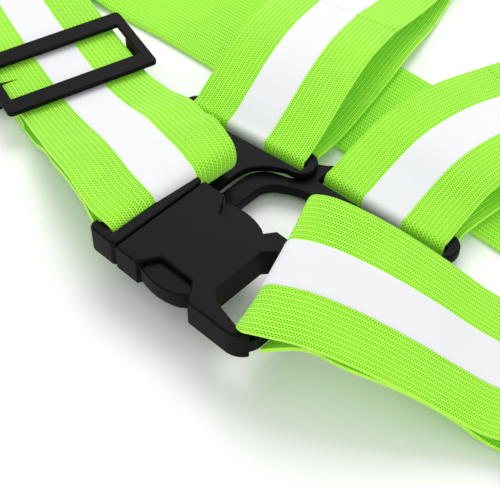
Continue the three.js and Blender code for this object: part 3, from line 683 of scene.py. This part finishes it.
def build_left_shoulder():
    heading = SHOULDER_LEFT["heading"]
    start = SHOULDER_LEFT["start"]
    tail, run = build_front_shoulder(
        "shoulder_left", SHOULDER_LEFT, -1, LEFT_SLOT, (1.5, 7.0, 2.1),
        [(-30.4, 53.6, 12, 189), (-33.8, 67, 16, 193), (-37.6, 81, 16.8, 193), (*start, 14.2, heading + 90)],
        [(-52, 148, GROUND_Z, 190), (-44, 122, 1.5, 189), (-40, 106, OVER_BELT_Z, 188),
         (-34, 80, OVER_BELT_Z, 187), (-30.3, 60.4, OVER_BELT_Z + 0.3, 186), (-29.2, 50.2, 4.9, 186)],
        ("left_yoke", "harness"))
    meet = 0.52
    far = lay_strap("shoulder_left_return", tail + run, span=(0, meet), suffix="_far", tape=False)
    near = lay_strap("shoulder_left_return", tail + run, span=(meet, 1), suffix="_near", tape=False)
    strap_start = (*on_course(start, heading, 14), 0)
    slider_near = (*on_course(start, heading, SHOULDER_LEFT["slider"] - 16), 0)
    blend_all(far, "harness", "shoulder_left_adjuster", strap_start, slider_near)
    blend_all(near, "left_yoke", "harness", (-29.5, 54, 0), (-35, 90, 0))
    far_tape, near_tape = [
        lay_tape_only("shoulder_left_return", run[2:], span, suffix)
        for span, suffix in (((0, 0.45), "_far"), ((0.45, 1), "_near"))
    ]
    blend_all([far_tape], "harness", "shoulder_left_adjuster", strap_start, slider_near)
    blend_all([near_tape], "left_yoke", "harness", (-29.5, 54, 0), (-35, 90, 0))


def lay_tape_only(node, stations, span, suffix):
    sizes = bpy.context.scene.vest_sizes
    thick, tape_thick = sizes.strap_thickness * 1000, sizes.tape_thickness * 1000
    shares = (0.5 - TAPE_SHARE / 2, 0.5 + TAPE_SHARE / 2)
    made = lay_band(
        f"{node}_reflective{suffix}", stations, thick=tape_thick, lift=thick / 2 + tape_thick / 2 - 0.05,
        shares=shares, rows=10, edge=0.07, span=span)
    dress(made, "reflective_tape")
    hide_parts(f"{node}_tape")
    return made


def build_right_shoulder():
    heading = SHOULDER_RIGHT["heading"]
    start = SHOULDER_RIGHT["start"]
    tail, run = build_front_shoulder(
        "shoulder_right", SHOULDER_RIGHT, 1, RIGHT_SLOT, (1.25, 3.95, 2.65),
        [(16.7, 60.4, 8.2, 180), (17, 73, 11.4, 177), (19.4, 89, 12.2, 172), (*start, 10.4, heading + 90)],
        [(37, 152, GROUND_Z, 168), (28.6, 122, 1.5, 170), (24.6, 106, OVER_BELT_Z, 173),
         (20.4, 86, OVER_BELT_Z, 176), (17.8, 61.4, OVER_BELT_Z + 0.2, 181), (17.4, 58.1, 3, 182),
         (17.2, 55.8, 1.6, 182.6), (17.2, 54.4, 1.3, 182.6)],
        None)
    made = lay_strap("shoulder_right_return", tail + run, tape_stations=run[2:])
    slider_near = on_course(start, heading, SHOULDER_RIGHT["slider"] - 16)
    blend_all(made, "harness", "shoulder_right_adjuster", (20, 80, 0), (*slider_near, 0))


def build_rear_shoulder(name, side, body):
    fold_x, fold_y = side * SHOULDER_FOLD[0], SHOULDER_FOLD[1]
    hang_x = side * HANGER_AT[0]
    bar_y = HANGER_BAR_Y
    run = [
        (fold_x, fold_y - 1.5, UPPER_Z), (fold_x, fold_y + 1.8, 5.8), (fold_x, fold_y + 3, 3.9),
        (fold_x, fold_y + 1.8, 2), (fold_x, fold_y - 3, GROUND_Z),
        (fold_x + side * 1.3, fold_y - 14, GROUND_Z), (fold_x + side * 12, 300, GROUND_Z),
        (fold_x + side * 26, 190, GROUND_Z), (fold_x + side * 35, 135, GROUND_Z),
        (hang_x - side * 0.6, bar_y + 10, GROUND_Z), (hang_x, bar_y, GROUND_Z), (hang_x, bar_y - 1.9, 1.4),
    ]
    end = [
        (hang_x, bar_y - 2.7, 3.2), (hang_x, bar_y - 1.9, 5), (hang_x, bar_y, 5.25),
        (hang_x, bar_y + 4, 4.4), (hang_x, bar_y + 12, 3.1),
    ]
    stations = [station(*spot, 180) for spot in run + end]
    made = lay_strap(name, stations, tape_stations=stations[:len(run)])
    blend_all(made, "harness", body, (hang_x, 300, 0), (hang_x, 130, 0))
    sew_tack(f"{name}_stitch", hang_x, bar_y + 9.5, 4.2, 90, body)


# ---------------------------------------------------------------- moulded pieces

MOULDED = {
    "buckle_socket": "harness",
    "buckle_plug": "plug_side",
    "near_release_prong": "near_prong",
    "far_release_prong": "far_prong",
    "yoke_left_plate": "left_yoke",
    "yoke_right_plate": "harness",
    "belt_left_slider": "belt_left_adjuster",
    "belt_right_slider": "belt_right_adjuster",
    "shoulder_left_slider": "shoulder_left_adjuster",
    "shoulder_right_slider": "shoulder_right_adjuster",
    "rear_shoulder_left_hanger": "rear_left_carrier",
    "rear_shoulder_right_hanger": "rear_right_carrier",
}


def soften(node, body, edge):
    """The moulded piece itself: its frame node copied, joined up and given rounded edges."""
    piece = bpy.data.objects.new(f"{node}_moulded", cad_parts[node].data.copy())
    bpy.context.scene.collection.objects.link(piece)
    mesh = bmesh.new()
    mesh.from_mesh(piece.data)
    bmesh.ops.remove_doubles(mesh, verts=mesh.verts, dist=1e-6)
    bmesh.ops.dissolve_limit(mesh, angle_limit=math.radians(1), verts=mesh.verts, edges=mesh.edges)
    mesh.to_mesh(piece.data)
    mesh.free()
    rounding = piece.modifiers.new("edges", "BEVEL")
    rounding.width = edge
    rounding.segments = 2
    rounding.limit_method = "ANGLE"
    rounding.angle_limit = math.radians(50)
    rounding.use_clamp_overlap = True
    flat_shading = piece.modifiers.new("flats", "WEIGHTED_NORMAL")
    flat_shading.keep_sharp = True
    make_only(piece)
    bpy.ops.object.shade_smooth_by_angle(angle=math.radians(50))
    apply_modifiers(piece)
    dress(piece, "moulded_plastic")
    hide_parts(node)
    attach(piece, body)
    return piece


# ---------------------------------------------------------------- operators

class VEST_OT_buckle(bpy.types.Operator):
    """Makes the side-release buckle: socket, plug and the two release prongs"""
    bl_idname = "vest.buckle"
    bl_label = "Buckle"

    def execute(self, context):
        for node in ("buckle_socket", "buckle_plug", "near_release_prong", "far_release_prong"):
            soften(node, MOULDED[node], context.scene.vest_sizes.moulded_edge)
        return {"FINISHED"}


class VEST_OT_yoke(bpy.types.Operator):
    """Makes the two yoke plates under the buckle and finishes their rivet and washer"""
    bl_idname = "vest.yoke"
    bl_label = "Yoke plates"

    def execute(self, context):
        for node in ("yoke_left_plate", "yoke_right_plate"):
            soften(node, MOULDED[node], context.scene.vest_sizes.moulded_edge)
        for node in ("yoke_rivet", "yoke_washer"):
            dress(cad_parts[node], "turned_steel")
        return {"FINISHED"}


class VEST_OT_adjusters(bpy.types.Operator):
    """Makes the four strap sliders and the two rear hangers"""
    bl_idname = "vest.adjusters"
    bl_label = "Sliders and hangers"

    def execute(self, context):
        for node, body in MOULDED.items():
            if node.endswith(("_slider", "_hanger")):
                soften(node, body, context.scene.vest_sizes.moulded_edge)
        return {"FINISHED"}


class VEST_OT_belt(bpy.types.Operator):
    """Lays the waist belt: both front straps, the rear belt and its side folds"""
    bl_idname = "vest.belt"
    bl_label = "Belt"

    def execute(self, context):
        build_right_belt()
        build_left_belt()
        build_rear_belt()
        build_side_folds()
        return {"FINISHED"}


class VEST_OT_shoulders(bpy.types.Operator):
    """Lays both shoulder straps from the yoke, over the shoulders and down to the rear belt"""
    bl_idname = "vest.shoulders"
    bl_label = "Shoulder straps"

    def execute(self, context):
        build_left_shoulder()
        build_right_shoulder()
        build_rear_shoulder("rear_shoulder_left", -1, "rear_left_carrier")
        build_rear_shoulder("rear_shoulder_right", 1, "rear_right_carrier")
        return {"FINISHED"}


# The camera looks at this point of the maker's drawing.
LOOK_AT = (8.3, 6.2, 17.9)
LENS = 86.4
SENSOR_WIDTH = 36

# Place, size and power of each soft light.
KEY_LIGHT = ((-0.5, 0.5, 1.1), 0.9, 10)
FILL_LIGHT = ((0.9, -0.7, 0.9), 1.0, 2.5)
SKY_STRENGTH = 0.78
FLOOR_SIZE = 12


def add_softbox(name, spot, size, watts):
    aim = Vector(place(0, 30, 0)) - Vector(spot)
    bpy.ops.object.light_add(type="AREA", location=spot, rotation=aim.to_track_quat("-Z", "Y").to_euler())
    box = bpy.context.object
    box.name = name
    box.data.shape = "SQUARE"
    box.data.size = size
    box.data.energy = watts
    return box


class VEST_OT_stage(bpy.types.Operator):
    """Sets the floor, the studio lights and the camera"""
    bl_idname = "vest.stage"
    bl_label = "Stage"

    def execute(self, context):
        sizes = context.scene.vest_sizes
        deselect()
        bpy.ops.mesh.primitive_plane_add(size=FLOOR_SIZE, location=(0, 0, 0))
        floor = context.object
        floor.name = "floor"
        floor.data.materials.append(finishes()["floor_paper"])
        key = add_softbox("key_light", *KEY_LIGHT)
        fill = add_softbox("fill_light", *FILL_LIGHT)
        sky = bpy.data.worlds.new("studio")
        sky.use_nodes = True
        sky.node_tree.nodes["Background"].inputs["Color"].default_value = (1, 1, 1, 1)
        sky.node_tree.nodes["Background"].inputs["Strength"].default_value = SKY_STRENGTH
        context.scene.world = sky
        context.scene.view_settings.view_transform = "Standard"
        turn, lift = sizes.camera_azimuth, sizes.camera_elevation
        direction = Vector((
            math.cos(lift) * math.sin(turn), -math.cos(lift) * math.cos(turn), math.sin(lift)))
        target = place(*LOOK_AT)
        spot = target + direction * sizes.camera_distance
        bpy.ops.object.camera_add(location=spot, rotation=(-direction).to_track_quat("-Z", "Y").to_euler())
        camera = context.object
        camera.name = "camera"
        camera.data.lens = LENS
        camera.data.sensor_width = SENSOR_WIDTH
        camera.data.clip_start = 0.01
        context.scene.camera = camera
        return {"FINISHED"}


class VEST_PT_panel(bpy.types.Panel):
    """Lists the sizes, the colours and the steps of the vest"""
    bl_idname = "VEST_PT_panel"
    bl_label = "High visibility vest"
    bl_space_type = "VIEW_3D"
    bl_region_type = "UI"
    bl_category = "Vest"

    def draw(self, context):
        layout = self.layout
        for group in (context.scene.vest_sizes, context.scene.vest_colours):
            column = layout.column()
            for name in group.__annotations__:
                column.prop(group, name)
        for step in STEPS:
            layout.operator(step.bl_idname)


STEPS = (VEST_OT_buckle, VEST_OT_yoke, VEST_OT_adjusters, VEST_OT_belt, VEST_OT_shoulders, VEST_OT_stage)
GROUPS = (VestSizes, VestColours)


def register():
    for kind in (*GROUPS, *STEPS, VEST_PT_panel):
        bpy.utils.register_class(kind)
    bpy.types.Scene.vest_sizes = bpy.props.PointerProperty(type=VestSizes)
    bpy.types.Scene.vest_colours = bpy.props.PointerProperty(type=VestColours)


def unregister():
    del bpy.types.Scene.vest_colours
    del bpy.types.Scene.vest_sizes
    for kind in reversed((*GROUPS, *STEPS, VEST_PT_panel)):
        bpy.utils.unregister_class(kind)


def main():
    register()
    for step in STEPS:
        group, name = step.bl_idname.split(".")
        getattr(getattr(bpy.ops, group), name)()


if __name__ == "__main__":
    main()
